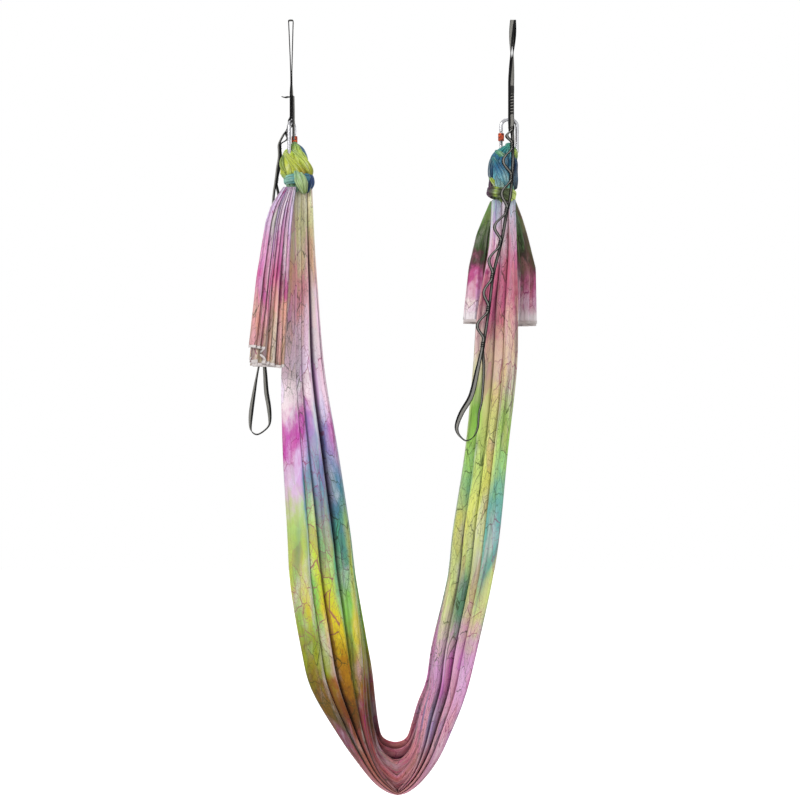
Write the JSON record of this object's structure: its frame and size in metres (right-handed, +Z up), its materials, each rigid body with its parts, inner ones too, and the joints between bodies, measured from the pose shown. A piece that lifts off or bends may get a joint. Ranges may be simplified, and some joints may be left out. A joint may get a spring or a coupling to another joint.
{
  "type": "aerial hammock",
  "caption": "Aerial yoga hammock: a gathered, patterned cloth sling knotted on two screw-gate carabiners under sewn daisy-chain straps.",
  "frame": {"origin": "half way between the crowns of the two anchor loops, on the line that the hammock hangs from", "axes": "+Z up, +X from the left strap to the right strap as seen from the front, -Y towards the front"},
  "size_m": [0.7812, 0.1825, 2.0843],
  "materials": {
    "webbing": "woven, grey middle with black edges",
    "thread": "dense bar stitches",
    "metal": "polished",
    "sleeve": "anodised, satin",
    "left_knot_cloth": "soft knit",
    "right_knot_cloth": "soft knit",
    "left_collar_cloth": "soft knit",
    "right_collar_cloth": "soft knit",
    "cloth": "soft knit, washed in many colours"
  },
  "bodies": {
    "anchor_loops": {"left_anchor_loop": "webbing", "right_anchor_loop": "webbing"},
    "hammock": {"left_sewn_section": "webbing", "left_end_tab": "webbing", "left_carrying_band": "webbing", "left_carrying_pocket": "webbing", "left_sewn_bars": "thread", "left_eye_bartack": "thread", "left_bartack_1": "thread", "left_carabiner_frame": "metal", "left_gate_pin": "metal", "left_knot_bight": "left_knot_cloth", "left_knot_collar": "left_collar_cloth", "left_cloth_tail": "cloth", "right_sewn_section": "webbing", "right_end_tab": "webbing", "right_carrying_band": "webbing", "right_carrying_pocket": "webbing", "right_sewn_bars": "thread", "right_eye_bartack": "thread", "right_bartack_1": "thread", "right_carabiner_frame": "metal", "right_gate_pin": "metal", "right_knot_bight": "right_knot_cloth", "right_knot_collar": "right_collar_cloth", "right_cloth_tail": "cloth", "sling": "cloth", "left_loose_end": "webbing"},
    "left_strap_tail": {"left_strap_band": "webbing", "left_pocket_band": "webbing", "left_end_loop": "webbing", "left_bartack_2": "thread", "left_bartack_3": "thread", "left_bartack_4": "thread", "left_bartack_5": "thread", "left_bartack_6": "thread", "left_bartack_7": "thread"},
    "left_gate": {"left_gate": "metal", "left_gate_plunger": "metal", "left_gate_spring": "metal"},
    "left_sleeve": {"left_screw_sleeve": "sleeve"},
    "right_strap_tail": {"right_strap_band": "webbing", "right_pocket_band": "webbing", "right_end_loop": "webbing", "right_bartack_2": "thread", "right_bartack_3": "thread", "right_bartack_4": "thread", "right_bartack_5": "thread", "right_bartack_6": "thread", "right_bartack_7": "thread"},
    "right_gate": {"right_gate": "metal", "right_gate_plunger": "metal", "right_gate_spring": "metal"},
    "right_sleeve": {"right_screw_sleeve": "sleeve"}
  },
  "joints": [
    {"name": "hammock_swing", "type": "hinge", "parent": "anchor_loops", "child": "hammock", "pos_m": [0, 0, -0.172], "axis": [1, 0, 0], "range_deg": [-30, 30]},
    {"name": "left_strap_tail_swing", "type": "hinge", "parent": "hammock", "child": "left_strap_tail", "pos_m": [-0.34215, 0.002, -0.351], "axis": [0, 1, 0], "range_deg": [0, 60]},
    {"name": "right_strap_tail_swing", "type": "hinge", "parent": "hammock", "child": "right_strap_tail", "pos_m": [0.2957, -0.04865, -0.351], "axis": [-1, 0, 0], "range_deg": [0, 60]},
    {"name": "left_gate_swing", "type": "hinge", "parent": "hammock", "child": "left_gate", "pos_m": [-0.29157, 0.02402, -0.3475], "axis": [0.9608, -0.2773, 0], "range_deg": [0, 20], "stiffness_Nm_per_rad": 0.4, "springref_deg": -20.05},
    {"name": "right_gate_swing", "type": "hinge", "parent": "hammock", "child": "right_gate", "pos_m": [0.2675, 0, -0.343], "axis": [0, 1, 0], "range_deg": [0, 20], "stiffness_Nm_per_rad": 0.4, "springref_deg": -20.05},
    {"name": "left_sleeve_travel", "type": "slide", "parent": "left_gate", "child": "left_sleeve", "axis": [0, 0, 1], "range_m": [0, 0.009]},
    {"name": "right_sleeve_travel", "type": "slide", "parent": "right_gate", "child": "right_sleeve", "axis": [0, 0, 1], "range_m": [0, 0.009]}
  ]
}
